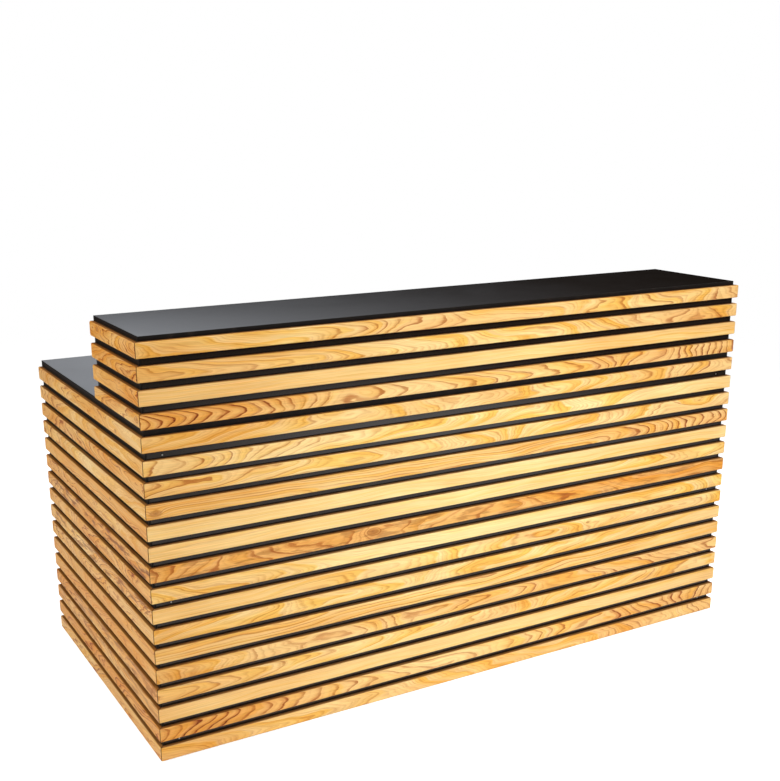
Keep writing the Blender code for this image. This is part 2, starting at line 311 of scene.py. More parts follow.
# %% Light
ROOM_LIGHT = 0.34
WALL_LIGHT = 0.86  # the pale part of the wall behind the counter
WALL_SHADE = 0.004  # the rest of it
WALL_RISE = (0.112, 0.196)  # the heights, as a sine, between which it turns pale
WALL_TURNS = (0.0, 0.305, 0.89)  # radians from straight back, to the right: shade, pale, shade
WALL_CURVE = 1.6  # how much its paleness hangs back
WALL_SIDES = (0.85, 1.15)  # where it gives way to the room, in radians to either side
WALL_TOP = (0.35, 0.75)  # and above, as a sine
WALL_TINT = (0.92, 0.97, 1.05, 1)
SIDE_LIGHT = 0.85  # the room to the left and right of the counter
SIDE_TURNS = (1.7, 2.1)  # where it gives way to the room in front
CURTAIN = 0.2  # what is left of the room in front, as a reflection

world = bpy.data.worlds.new("studio_room")
bpy.context.scene.world = world
world.use_nodes = True
right, back, up = parts(start(world, "ShaderNodeTexCoord")["Generated"])
turn = calc("ARCTAN2", right, back)
aside = calc("ABSOLUTE", turn)
shade, palest, far_shade = WALL_TURNS
falls = calc("POWER", ease(turn, palest, far_shade, 1.0, 0.0, "LINEAR"), WALL_CURVE)
rises = calc("POWER", ease(up, *WALL_RISE), WALL_CURVE)
wall = scaled(times(times(falls, ease(turn, shade, palest)), rises), WALL_LIGHT, WALL_SHADE)
behind = times(ease(aside, *WALL_SIDES, 1.0, 0.0), ease(up, *WALL_TOP, 1.0, 0.0))
rays = start(world, "ShaderNodeLightPath")
front_room = mix(rays["Is Glossy Ray"], ROOM_LIGHT, ROOM_LIGHT * CURTAIN)
room = ease(aside, *SIDE_TURNS, SIDE_LIGHT, front_room)
seen = rays["Is Camera Ray"]
plug(world.node_tree.nodes["Background"].inputs,
     Strength=mix(seen, mix(behind, room, wall), 1.0),
     Color=mix_colour(times(behind, minus(1.0, seen)), (1, 1, 1, 1), WALL_TINT))


def soft_box(name, place, aim, size, watts, spread):
    """A square studio lamp that faces a point; a smaller spread is a deeper grid in front of it."""
    turn = (Vector(aim) - Vector(place)).to_track_quat("-Z", "Y").to_euler()
    bpy.ops.object.light_add(type="AREA", location=place, rotation=turn)
    lamp = bpy.context.object
    lamp.name = name
    lamp.data.size = size
    lamp.data.energy = watts
    lamp.data.spread = math.radians(spread)
    lamp.visible_glossy = False


soft_box("front_soft_box", (0.40, -4.2, 3.0), (0.36, -0.4, 0.5), size=2.6, watts=28, spread=54)
soft_box("left_soft_box", (-4.4, -1.0, 2.7), (-0.9, 0.0, 0.6), size=2.4, watts=97, spread=180)
bpy.context.scene.view_settings.view_transform = "Standard"

# %% [markdown]
# ## Modelling by hand, in code
#
# A piece starts as a cube or a cylinder at its true size and place. Its place goes into its mesh and
# its object stays at the origin, so that the wood's pattern can't slide. What repeats is copied.

# %% Blocks, rods and copies
ROD_SIDES = 32


def only(piece):
    """Makes one piece the selected and active one."""
    bpy.ops.object.select_all(action="DESELECT")
    piece.select_set(True)
    bpy.context.view_layer.objects.active = piece


def settle(name):
    """Names the new piece and its mesh, and puts its place, turn and size into the mesh."""
    made = bpy.context.object
    made.name = name
    made.data.name = name
    bpy.ops.object.transform_apply(location=True, rotation=True, scale=True)
    return made


def add_block(name, corner, opposite):
    """A cube between two corners."""
    corner = Vector(corner)
    opposite = Vector(opposite)
    bpy.ops.object.select_all(action="DESELECT")
    bpy.ops.mesh.primitive_cube_add(size=1, location=(corner + opposite) / 2)
    bpy.context.object.scale = [abs(length) for length in opposite - corner]
    return settle(name)


def add_rod(name, x, y, low, high, radius, sides=ROD_SIDES):
    bpy.ops.object.select_all(action="DESELECT")
    bpy.ops.mesh.primitive_cylinder_add(vertices=sides, radius=radius, depth=high - low,
                                        location=(x, y, (low + high) / 2))
    return settle(name)


def rod_of(name, node, longer=0.0, wider=0.0, sides=ROD_SIDES):
    """A rod in the place of a round, upright node of the frame."""
    low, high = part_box(node)
    middle = middle_of(node)
    radius = (high.x - low.x) / 2 + wider
    return add_rod(name, middle.x, middle.y, low.z - longer, high.z + longer, radius, sides)


def copy_of(piece, name, offset):
    """A copy with its own mesh, moved to its place."""
    only(piece)
    bpy.ops.object.duplicate()
    bpy.ops.transform.translate(value=offset)
    return settle(name)


def apply_modifier(piece, kind, **options):
    only(piece)
    step = piece.modifiers.new(kind.lower(), kind)
    for name, value in options.items():
        setattr(step, name, value)
    bpy.ops.object.modifier_apply(modifier=step.name)


def repeat(piece, count, step):
    apply_modifier(piece, "ARRAY", count=count, use_relative_offset=False, use_constant_offset=True,
                   constant_offset_displace=step)


def combine(piece, tool, operation):
    """Joins a tool to a piece or takes it out of it, and removes the tool."""
    apply_modifier(piece, "BOOLEAN", operation=operation, object=tool, solver="EXACT")
    bpy.data.objects.remove(tool, do_unlink=True)


def dress(piece, body, slot, *nodes):
    """Ties a finished piece to its body and hides the CAD nodes that it stands for; the finish's name is not
    used.
    """
    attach(piece, body)
    if nodes:
        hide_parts(*nodes)


print("a rod has", ROD_SIDES, "sides")

# %% [markdown]
# Then edit mode. By hand, edges and faces are picked with the mouse. Here they are picked by where
# they lie, and bevelled, cut or filled in the same way.

# %% Edit mode
FLAT = 1e-6  # points that lie this close to a plane are on it


def edit(piece, mode="EDGE"):
    only(piece)
    bpy.ops.object.mode_set(mode="EDIT")
    bpy.ops.mesh.select_mode(type=mode)
    bpy.ops.mesh.select_all(action="DESELECT")


def leave_edit(smooth_below=35):
    """Back to object mode, with faces shaded smooth where they meet at a flat angle."""
    bpy.ops.object.mode_set(mode="OBJECT")
    bpy.ops.object.shade_smooth_by_angle(angle=math.radians(smooth_below))


def pick(kind, test):
    """Selects, in edit mode, the verts, edges or faces that a test takes by their points."""
    bpy.ops.mesh.select_all(action="DESELECT")
    mesh = bpy.context.object.data
    for part in getattr(bmesh.from_edit_mesh(mesh), kind):
        points = [part.co] if kind == "verts" else [vert.co for vert in part.verts]
        if test(points):
            part.select_set(True)
    bmesh.update_edit_mesh(mesh)


def round_edges(test, size, steps):
    """Bevels the edges that a test takes."""
    pick("edges", test)
    bpy.ops.mesh.bevel(offset=size, segments=steps, profile=0.5, affect="EDGES")


def keep_flat(test):
    """Shades the faces that a test takes as flat, so that the rounding beside them doesn't bend them."""
    bpy.ops.object.mode_set(mode="EDIT")
    bpy.ops.mesh.select_mode(type="FACE")
    pick("faces", test)
    bpy.ops.mesh.faces_shade_flat()
    bpy.ops.object.mode_set(mode="OBJECT")


def spread(points, axis):
    """How far apart the points lie along one axis."""
    values = [point[axis] for point in points]
    return max(values) - min(values)


print("points closer than", FLAT, "m count as flat")

# %% [markdown]
# ## The slats
#
# The counter's face is twenty rows of softwood, 40 mm high and 12 mm thick. Their outer edges are
# rounded by a router and their ends are cut to a mitre, so that front and end slats meet in a thin
# line at the corner. A row could be a plain box, but the rounded edge and the mitre are what shows
# that the cladding is made of separate sticks.
#
# One front slat is modelled: a block, its two outer long edges bevelled, cuts along its length, and both
# ends cut off along the corner's diagonal. Then it is copied to every row.

# %% The front slats
SLAT_ROUND = 0.003
ROUND_STEPS = 5
FRONT_CUTS = 39
LONG_EDGE = 0.1  # an edge longer than this runs along its slat
MITRE_GAP = 0.0004
ARRIS = 0.0010  # the sanded edge of a mitre
NEAR_CUT = 1e-5  # points this close to a mitre's plane are on it


def cut_mitre(place, outward):
    """Cuts off what lies beyond a plane, closes the cut, and sands its sharp edge."""
    bpy.ops.mesh.select_all(action="SELECT")
    bpy.ops.mesh.bisect(plane_co=place, plane_no=outward, use_fill=True, clear_outer=True)
    place = Vector(place)
    outward = Vector(outward).normalized()
    round_edges(lambda ends: all(abs((end - place).dot(outward)) < NEAR_CUT for end in ends), ARRIS, 2)


def shape_front_slat(name, low, high):
    slat = add_block(name, low, high)
    edit(slat)
    round_edges(lambda ends: spread(ends, 0) > LONG_EDGE and ends[0].y < SLAT_FACE_Y + FLAT,
                SLAT_ROUND, ROUND_STEPS)
    pick("edges", lambda ends: spread(ends, 0) > LONG_EDGE)
    bpy.ops.mesh.subdivide(number_cuts=FRONT_CUTS)
    cut_mitre((HALF - MITRE_GAP, FRONT_Y, 0), (1, 1, 0))
    cut_mitre((MITRE_GAP - HALF, FRONT_Y, 0), (-1, 1, 0))
    leave_edit()
    keep_flat(lambda points: spread(points, 1) < FLAT or spread(points, 2) < FLAT)
    return slat


lowest = shape_front_slat(f"slat_front_{ROWS}", *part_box(row_node(ROWS)))
front_slats = {ROWS: lowest}
for row in range(1, ROWS):
    rise = row_low(row) - row_low(ROWS)
    front_slats[row] = copy_of(lowest, f"slat_front_{row:02d}", (0, 0, rise))
for row, slat in front_slats.items():
    dress(slat, "front" if row > RISER_ROWS else "riser", "varnished_pine", row_node(row))
print("front slats", len(front_slats), "with", len(lowest.data.polygons), "faces each")

# %% [markdown]
# The ends carry the same slats, turned back along the sides. At the front they are mitred to meet the
# front's slats, and at the rear their outer corner is rounded like the long edges. The raised bar's
# ends are shallower. Their lowest slat is ripped narrower so that it clears the worktop, and their top
# slat is planed down with its board so that it swings in under the bar's top. These two are modelled
# by themselves, and the other rows are copies of one slat below and one slat above.

# %% The end slats
END_CUTS = 19
REAR_ROUND = 0.006  # the corners of a slat's free end
LET_IN = 0.0006  # how far a slat's back sits in its facing
FOLD_LIFT = 0.006  # how much the lowest slat of the raised bar's ends is narrower


def shape_end_slat(name, side, rear, low, high):
    face_x = side * (HALF + SLAT_PROUD)

    def at_rear(ends):
        return min(end.y for end in ends) > rear - FLAT

    def on_face(ends):
        return max(abs(end.x - face_x) for end in ends) < FLAT

    slat = add_block(name, (side * (HALF - LET_IN), SLAT_FACE_Y, low), (face_x, rear, high))
    edit(slat)
    pick("edges", lambda ends: spread(ends, 1) > LONG_EDGE)
    bpy.ops.mesh.subdivide(number_cuts=END_CUTS)
    round_edges(lambda ends: at_rear(ends) and spread(ends, 0) > FLAT, REAR_ROUND, ROUND_STEPS)
    round_edges(lambda ends: on_face(ends) and (spread(ends, 1) > FLAT or at_rear(ends)),
                SLAT_ROUND, ROUND_STEPS)
    cut_mitre((side * HALF, FRONT_Y + MITRE_GAP, 0), (-side, -1, 0))
    leave_edit()
    keep_flat(lambda points: spread(points, 0) < FLAT or spread(points, 2) < FLAT)
    return slat


end_slats = {}
for side_name, side in SIDES.items():
    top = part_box(f"riser_{side_name}_end_cladding")[1].z
    for row in (ROWS, 1, RISER_ROWS - 1, RISER_ROWS):
        low = row_low(row)
        foot = low + FOLD_LIFT if row == RISER_ROWS else low
        end_slats[side_name, row] = shape_end_slat(f"slat_{side_name}_{row:02d}", side, row_rear(row),
                                                   foot, min(low + 2 * SLAT_HALF, top))
    for pattern, rows in ((ROWS, range(RISER_ROWS + 1, ROWS)), (RISER_ROWS - 1, range(2, RISER_ROWS - 1))):
        for row in rows:
            rise = row_low(row) - row_low(pattern)
            end_slats[side_name, row] = copy_of(end_slats[side_name, pattern],
                                                f"slat_{side_name}_{row:02d}", (0, 0, rise))
for (side_name, row), slat in end_slats.items():
    body = f"{side_name}_end" if row > RISER_ROWS else f"riser_{side_name}_end"
    dress(slat, body, "varnished_pine")
print("end slats", len(end_slats))

# %% [markdown]
# ## How the slats grew
#
# Flat-sawn softwood shows nested arcs where the saw ran out through the year rings, and straight lines
# where it ran along them. An image of wood would repeat on every row. Instead each slat gets its own
# bit of a log: where the pith ran beside it, how fast the slat climbs out through the rings, how strong
# the late wood is, and how deep its colour.
#
# A zone is a kind of figure: how steeply the rings run out, how bold they are, how far the pith lies
# to one side, and how much of soft bands and of a deeper tone it has. A slat is a left, a middle and a
# right zone, and a tone from pale to amber.

# %% Kinds of figure
ZONES = {
    #            steep  bold  aside  soft  deep
    "flame":    (0.120, 1.80, 0.001, 0.55, 0.10),
    "torch":    (0.120, 2.00, 0.001, 0.55, 0.24),
    "arcs":     (0.085, 0.75, 0.004, 0.50, 0.04),
    "loops":    (0.050, 0.75, 0.008, 0.65, 0.05),
    "cloud":    (0.060, 0.22, 0.010, 1.00, 0.00),
    "straight": (0.012, 0.70, 0.034, 0.70, 0.00),
    "plain":    (0.010, 0.20, 0.050, 0.30, 0.00),
    "wild":     (0.070, 1.40, 0.012, 1.00, 0.05),
}
TONES = {"pale": 0.04, "straw": 0.13, "golden": 0.19, "wheat": 0.31, "honey": 0.37, "amber": 0.67}
FRONT_FIGURE = (  # from the top row down: left, middle and right zone, and tone
    "cloud loops loops wheat", "loops cloud loops wheat",
    "plain plain plain wheat", "torch loops flame honey",
    "cloud cloud arcs honey", "arcs cloud plain pale",
    "loops cloud loops straw", "straight straight flame honey",
    "plain plain plain straw", "plain plain cloud straw",
    "arcs loops straight amber", "cloud plain cloud pale",
    "plain cloud cloud golden", "cloud cloud plain golden",
    "straight straight plain honey", "cloud loops loops honey",
    "loops cloud loops golden", "plain plain plain wheat",
    "torch loops flame honey", "cloud cloud arcs honey",
)
FRONT_KNOTS = {  # along, across and size, in metres
    8: (-0.966, -0.004, 0.009),
    11: (-0.350, 0.004, 0.010),
    13: (0.420, 0.006, 0.004),
}
NO_KNOT = (9.0, 0.0, 0.001)
END_FIGURE = ("wild", "wild", "loops", "cloud", "straight")
END_TONES = (0.40, 0.92)
END_SHADE_BY_ROW = 0.005  # painted shade: how much darker the ends' slats are with each row down
END_KNOTS = 0.4  # the share of them that have a knot
KNOT_ACROSS = (-0.014, 0.014)
KNOT_SIZES = (0.004, 0.008)
STREAKS = {  # how much dark mineral streak a slat has
    ("front", 11): 0.45, ("left", 11): 0.95, ("left", 13): 0.75, ("left", 17): 0.60,
    ("left", 18): 0.45, ("right", 8): 0.80, ("right", 14): 0.60,
}
print("zones", len(ZONES), "tones", len(TONES), "rows", len(FRONT_FIGURE))

# %% [markdown]
# These numbers are written on the mesh as attributes, so one material can read them and still give
# sixty different sticks. Sixty materials would do the same, but each would have to be kept in step.

# %% Grain on the slats
GRAIN_MARKS = ("grain_place", "grain_pith", "grain_kind", "grain_knot")
PITH_DEPTH = (0.040, 0.075)  # at a slat's left or front end
ZONE_STEPS = 60
LEFT_ZONE = (0.08, 0.38)  # the part of a slat where its left zone gives way
RIGHT_ZONE = (0.62, 0.92)  # and where its right one takes over
SHADED_ENDS = (0.31, 0.16)  # painted shade: how much the front's slats darken to the left and right, where less light falls
DEEP_LEFT, DEEP_RIGHT = (0.0, 0.35), (0.4, 1.0)
RIGHT_SHADE_BANDS = 0.38  # painted shade: how much more of soft bands they have to the right, deepening them where less sheen falls
logs = random.Random(20)


def fade(part, low, high):
    """An eased step from 0 to 1."""
    value = min(1.0, max(0.0, (part - low) / (high - low)))
    return value * value * (3 - 2 * value)


def zone_values(zones, part):
    """The zones' values part-way along a slat: the end zones fade into the middle one."""
    left = 1 - fade(part, *LEFT_ZONE)
    right = fade(part, *RIGHT_ZONE)
    return [left * first + right * last + (1 - left - right) * middle
            for first, middle, last in zip(*(ZONES[zone] for zone in zones))]


def mark_grain(slat, run, face, zones, tone, streak, wild, deeper=(0, 0), right_shade=0, knot=NO_KNOT):
    """Writes on each point its place in the slat, how the log lay round it, and painted shade that deepens
    it.
    """
    mesh = slat.data
    points = [vert.co for vert in mesh.vertices]
    origin = min(point[run] for point in points)
    length = spread(points, run)
    middle = max(point.z for point in points) - SLAT_HALF
    flip = logs.choice((-1, 1))
    depth = [logs.uniform(*PITH_DEPTH)]
    for step in range(ZONE_STEPS):
        steep = zone_values(zones, (step + 0.5) / ZONE_STEPS)[0]
        depth.append(depth[-1] + steep * length / ZONE_STEPS)
    seed = logs.uniform(0, 100)
    for mark in GRAIN_MARKS:
        mesh.attributes.new(mark, "FLOAT_VECTOR", "POINT")
    place, pith, kind, eye = (mesh.attributes[mark].data for mark in GRAIN_MARKS)
    for index, point in enumerate(points):
        part = (point[run] - origin) / length
        at = min(int(part * ZONE_STEPS), ZONE_STEPS - 1)
        pith_depth = depth[at] + (depth[at + 1] - depth[at]) * (part * ZONE_STEPS - at)
        _, bold, aside, soft, deep = zone_values(zones, part)
        to_right = fade(part, *DEEP_RIGHT)
        # painted shade: the front's slats darker towards both ends
        end_shade = deeper[0] * (1 - fade(part, *DEEP_LEFT)) + deeper[1] * to_right
        place[index].vector = (point[run], point.z - middle, abs(point[1 - run] - face))
        pith[index].vector = (flip * aside, pith_depth, bold)
        # painted shade: stronger soft bands to the right on the front's slats
        kind[index].vector = (tone + end_shade + deep, seed, soft + right_shade * to_right)
        eye[index].vector = knot
    cut = mesh.attributes.new("grain_face", "FLOAT_VECTOR", "FACE").data
    for side in mesh.polygons:
        away = [abs(abs(points[index].x) - HALF + points[index].y - FRONT_Y) for index in side.vertices]
        cut[side.index].vector = (float(max(away) < 2 * ARRIS), streak, wild)


for row in sorted(front_slats):
    *zones, tone = FRONT_FIGURE[row - 1].split()
    mark_grain(front_slats[row], 0, SLAT_FACE_Y, zones, TONES[tone], STREAKS.get(("front", row), 0), 0,
               SHADED_ENDS, RIGHT_SHADE_BANDS, FRONT_KNOTS.get(row, NO_KNOT))
for side_name, row in sorted(end_slats):
    zones = [logs.choice(END_FIGURE) for _ in range(3)]
    # a random tone, plus painted shade that deepens each lower row
    tone = logs.uniform(*END_TONES) + END_SHADE_BY_ROW * row
    knot = NO_KNOT
    if logs.random() < END_KNOTS:
        knot = (logs.uniform(FRONT_Y, row_rear(row)), logs.uniform(*KNOT_ACROSS), logs.uniform(*KNOT_SIZES))
    mark_grain(end_slats[side_name, row], 1, SIDES[side_name] * (HALF + SLAT_PROUD), zones, tone,
               STREAKS.get((side_name, row), 0), 1, knot=knot)
print("slats marked", len(front_slats) + len(end_slats))

# %% [markdown]
# ## The wood's figure: year rings
#
# The group below reads a point's place in its slat and the log round it. A wave texture could draw the
# rings, but its waves are all alike. Here the distance to the pith, bent by a slow and a quick noise,
# counts the rings as a tree does, so one log gives arcs, loops or lines by how it is cut. Round a knot
# the rings are pushed aside.

# %% Rings
SEED_APART = (3.7, 1.3)  # what spreads the slats' seeds over the noise, along and across
SEED_GAP = 7.13  # what makes a ring's width of a seed
LEAST_GAP = 0.0032  # metres between two rings
MORE_GAP = 0.0014  # how much more that can be on a slat
WILD_GAP = -0.0005  # and how much less it is on the ends
SLOW_BEND = 0.034  # metres from end to end of the slow noise
QUICK_BEND = 0.0026
WILD_BEND = 0.0050  # how much more the quick one bends the ends' rings
KNOT_SHORTER = 0.5  # a knot is twice as long as it is high
KNOT_BEND = 0.15  # how much of the rings' bend its outline has
SWIRL = 2.4  # how far it pushes the rings, in sizes of the knot
SWIRL_FADE = -0.9

wood_figure, given, out = new_group(
    "wood_figure", [(mark, "Vector") for mark in ("Place", "Pith", "Kind", "Knot", "Face")],
    [("Color", "Color"), ("Roughness", "Float"), ("Height", "Float")])
along, across, deep = parts(given["Place"])
aside, pith_depth, bold = parts(given["Pith"])
tone, seed, soft = parts(given["Kind"])
knot_along, knot_across, knot_size = parts(given["Knot"])
cut, streaky, wild = parts(given["Face"])


def from_half(value):
    return minus(value, 0.5)


def long_side(first, second):
    """The long side of a right-angled triangle."""
    return calc("SQRT", plus(times(first, first), times(second, second)))


seed_along, seed_across = (times(seed, factor) for factor in SEED_APART)
apart = feed("ShaderNodeCombineXYZ", {0: seed_along, 1: seed_across, 2: seed})[0]
own_place = feed("ShaderNodeVectorMath", {0: given["Place"], 1: apart})[0]
slow_bend = drawn_noise(own_place, (3.0, 12, 12), 1.5)
quick_bend = drawn_noise(own_place, (16, 60, 60))
bend = scaled(from_half(slow_bend), SLOW_BEND,
              times(from_half(quick_bend), scaled(wild, WILD_BEND, QUICK_BEND)))
knot_away = long_side(times(minus(along, knot_along), KNOT_SHORTER), minus(across, knot_across))
knot_part = calc("DIVIDE", scaled(bend, KNOT_BEND, knot_away), knot_size)
swirl = times(calc("EXPONENT", times(knot_part, SWIRL_FADE)), times(knot_size, SWIRL))
inwards = plus(plus(deep, pith_depth), plus(bend, swirl))
own_gap = scaled(calc("FRACT", times(seed, SEED_GAP)), MORE_GAP, LEAST_GAP)
rings = calc("DIVIDE", long_side(minus(across, aside), inwards), scaled(wild, WILD_GAP, own_gap))
print("ring nodes", len(wood_figure.nodes))

# %% [markdown]
# Each ring darkens slowly into late wood and stops sharply, so its shade is a ramp and not a wave. No
# two rings are as dark, and a line is stronger in some places than in others. Fainter rings run
# between them, broad soft bands follow the same rings, and thin fibres run along the slat.

# %% Lines, bands and fibres
LINE_PATCHES = (0.35, 1.0)  # the least and most that patches leave of a line
LINE_LUCK = (0.15, 0.85)  # the same, from ring to ring
FINE_RINGS = 2.37  # so many faint rings to a ring
FINE_SHARE = 0.16
BROAD_RINGS = 0.42  # so many broad bands to a ring
BROAD_BEND = 1.5  # how far the slow noise shifts them, in bands
BAND_STRENGTH = 2.2


def ring_profile(part, *stops):
    """How dark a ring is from its start, 0, to its sharp end, 1."""
    shade = feed("ShaderNodeValToRGB", {"Fac": part})["Color"]
    steps = shade.node.color_ramp.elements
    steps[0].position, steps[1].position = stops[0][0], stops[-1][0]
    for position, value in stops[1:-1]:
        steps.new(position)
    for step, (position, value) in zip(steps, stops):
        step.color = (value, value, value, 1)
    return shade


def ring_luck(number):
    return feed("ShaderNodeTexWhiteNoise", {"W": number}, noise_dimensions="1D")["Value"]


patchy = ease(drawn_noise(own_place, (9, 40, 40)), 0.25, 0.65, *LINE_PATCHES)
late_wood = ring_profile(calc("FRACT", rings), (0.45, 0.0), (0.74, 0.22), (0.85, 0.9), (0.95, 1.0),
                         (1.0, 0.0))
luck = ease(ring_luck(plus(calc("FLOOR", rings), seed)), 0.0, 1.0, *LINE_LUCK)
fine_rings = ring_profile(calc("FRACT", times(rings, FINE_RINGS)), (0.5, 0.0), (0.9, 1.0), (1.0, 0.0))
line = plus(times(times(late_wood, bold), times(patchy, luck)),
            times(times(fine_rings, patchy), times(soft, FINE_SHARE)))
broad_rings = scaled(rings, BROAD_RINGS, times(slow_bend, BROAD_BEND))
broad = ring_profile(calc("FRACT", broad_rings), (0.10, 0.0), (0.55, 0.35), (0.90, 1.0), (1.0, 0.05))
broad_luck = ease(ring_luck(calc("FLOOR", broad_rings)), 0.1, 0.9)
band = times(calc("MULTIPLY", times(broad, broad_luck), times(patchy, BAND_STRENGTH), clamp=True), soft)
fibre = drawn_noise(own_place, (7, 700, 700), 3, 0.6)
print("ring, line and band nodes", len(wood_figure.nodes))

# %% [markdown]
# A line could be mixed in as a brown, but then half a line looks grey. Varnished wood takes light away,
# blue first, so a line is a power of what is left. Knots and mineral streaks lie over that. The sawn top
# and bottom edges are painted a darker brown than the planed face, partly for the sawn wood and partly
# as painted shade in the gaps between the slats, and they turn black towards the board as painted
# shade deep in the gaps.

# %% Colours of the wood
PALE = (0.87, 0.655, 0.300, 1)
AMBER = (0.70, 0.338, 0.078, 1)
CLOUDING = (0.9, 0.5)  # how cloudy the tone is: with soft bands, and anyway
LATE_WOOD = (0.34, 0.135, 0.070)  # what is left of red, green and blue in a full line
BAND_SHARE = (0.04, 0.12, 0.38)  # how much of that a soft band takes
KNOT_DARK = (0.24, 0.072, 0.016, 1)
KNOT_PALE = (0.46, 0.180, 0.045, 1)
KNOT_SHARE = 0.7
KNOT_FADE = (0.55, 1.15)  # where it gives way to the wood, in sizes of the knot
MINERAL_STREAK = (0.25, 0.072, 0.010, 1)
STREAK_FADE = (0.50, 0.60)  # of a noise
FIBRE_SHADE = (0.86, 1.07)  # how much the fibres darken and lighten
# partly the sawn wood's brown and partly painted shade, as these edges lie in the gaps
SAWN_EDGE_SHADE = (0.225, 0.077, 0.015, 1)
SAWN_SHADE_SHARE = 0.9
SAWN_FROM = 0.0014  # how far down the rounding the planed face reaches
# painted shade: the black that the sawn edges turn to deep in the gaps, towards the board
GAP_SHADE_BLACK = (0.008, 0.003, 0.001, 1)
GAP_SHADE_DEPTHS = (0.0066, 0.0108)  # painted shade deep in the gaps: metres under the face
# partly end grain and partly painted shade: the dark line along the mitre's seam
CUT_EDGE_SHADE = (0.075, 0.028, 0.008, 1)
CUT_SHADE_SHARE = 0.85

cloud = drawn_noise(own_place, (3.5, 18, 18))
# the tone read here carries, as well as the wood's own tone, the painted shade written on the slats
deeper = calc("ADD", tone, times(from_half(cloud), scaled(soft, *CLOUDING)), clamp=True)
left_over = [calc("POWER", rest, scaled(band, share, line)) for rest, share in zip(LATE_WOOD, BAND_SHARE)]
stain = feed("ShaderNodeCombineColor", dict(enumerate(left_over)))[0]
colour = mix_colour(1.0, mix_colour(deeper, PALE, AMBER), stain, "MULTIPLY")
heart_rings = times(calc("PINGPONG", knot_part, 0.5), 2.0)
heart = ease(knot_part, *KNOT_FADE, KNOT_SHARE, 0.0)
colour = mix_colour(heart, colour, mix_colour(heart_rings, KNOT_DARK, KNOT_PALE))
streak = ease(drawn_noise(own_place, (11, 70, 70), 3, 0.6), *STREAK_FADE)
colour = mix_colour(times(streak, streaky), colour, MINERAL_STREAK)
fibre_shade = ease(fibre, 0.3, 0.7, *FIBRE_SHADE)
grey_shade = feed("ShaderNodeCombineColor", dict(enumerate([fibre_shade] * 3)))[0]
colour = mix_colour(1.0, colour, grey_shade, "MULTIPLY")
# the sawn top and bottom edges: rougher, and painted a darker brown, partly as shade in the gaps, that turns
# to painted black shade deep in them
sawn = ease(calc("ABSOLUTE", across), SLAT_HALF - SAWN_FROM, SLAT_HALF, 0.0, SAWN_SHADE_SHARE)
colour = mix_colour(sawn, colour, mix_colour(ease(deep, *GAP_SHADE_DEPTHS), SAWN_EDGE_SHADE, GAP_SHADE_BLACK))
planed_rough = scaled(fibre, 0.16, scaled(line, 0.08, 0.38))
# the faces at the mitre painted dark: partly end grain, partly painted shade in the seam
plug(out, Color=mix_colour(times(cut, CUT_SHADE_SHARE), colour, CUT_EDGE_SHADE),
     Roughness=calc("MULTIPLY_ADD", sawn, 0.5, planed_rough, clamp=True),
     Height=scaled(line, 0.6, times(fibre, 0.5)))
print("wood figure nodes", len(wood_figure.nodes))

# %% [markdown]
# ## The varnish
#
# The slats have a thin satin varnish that lets the grain be felt. A thick clear coat would mirror the
# room, so the coat here is faint, and the late wood stands up a little in the bump.

# %% Varnished pine
varnished_pine, shader = new_material("varnished_pine_slats", Specular_IOR_Level=0.22, Coat_Weight=0.02,
                                      Coat_Roughness=0.25)
marks = {name: start(varnished_pine, "ShaderNodeAttribute", attribute_name=f"grain_{name.lower()}")["Vector"]
         for name in ("Place", "Pith", "Kind", "Knot", "Face")}
figure = use_group(wood_figure, **marks)
plug(shader, Base_Color=figure["Color"], Roughness=figure["Roughness"],
     Normal=bump(figure["Height"], 0.0004, 0.25))
for slat in [*front_slats.values(), *end_slats.values()]:
    slat.data.materials.append(varnished_pine)
print("varnished pine on", len(front_slats) + len(end_slats), "slats")

# %% [markdown]
# ## The black boards
#
# The panels, the worktop and the bar top are plywood under a black phenolic film, with the cut edges
# painted black. What handling leaves on them comes first, as a group that the metal and plastic use as
# well: dull smudges, and hair scratches. A scratch could be drawn as a line, but the thin places where
# a stretched noise crosses its middle value give many at once, in no order.

# %% Wear group
SCRATCHES = ((0.5, 0.012), (2.2, 0.010))  # radians that a set is turned by, and its width

handling_wear, given, out = new_group("handling_wear", [("Place", "Vector"), ("Scale", "Float")],
                                      [("Smudge", "Float"), ("Scratch", "Float")])
worn_place = feed("ShaderNodeVectorMath", {0: given["Place"], "Scale": given["Scale"]}, operation="SCALE")[0]
crossing = []
for turn, width in SCRATCHES:
    turned = feed("ShaderNodeMapping", {"Vector": worn_place, "Rotation": (turn, 0.3 * turn, turn)})[0]
    hairs = drawn_noise(turned, (4, 120, 60), 2, 0.5, 0.3)
    crossing.append(ease(calc("ABSOLUTE", from_half(hairs)), 0.0, width, 1.0, 0.0))
rare = ease(noise(worn_place, 7.0, 1), 0.55, 0.7)
plug(out, Smudge=ease(noise(worn_place, 3.0, 3, 0.5, 0.4), 0.35, 0.75),
     Scratch=times(calc("MAXIMUM", *crossing), rare))
print("wear nodes", len(handling_wear.nodes))

# %% [markdown]
# The film is smooth with a faint orange-peel. A plain black would look like a hole in the picture: what
# shows is its sheen, so the smudges and the peel matter more than its colour. The painted edges are
# duller, and the plies' grain shows through them.

# %% Black film and black edge
FILM = ((0.010, 0.0058, 0.0032, 1), (0.016, 0.0096, 0.0056, 1))
FILM_SCRATCH = (0.10, 0.095, 0.09, 1)
PAINT = ((0.004, 0.003, 0.0025, 1), (0.010, 0.0075, 0.006, 1))
PAINT_SCRATCH = (0.09, 0.06, 0.04, 1)


def worn(material, scale):
    """A material's place, and the wear at it."""
    spot = object_place(material)
    return spot, use_group(handling_wear, Place=spot, Scale=scale)


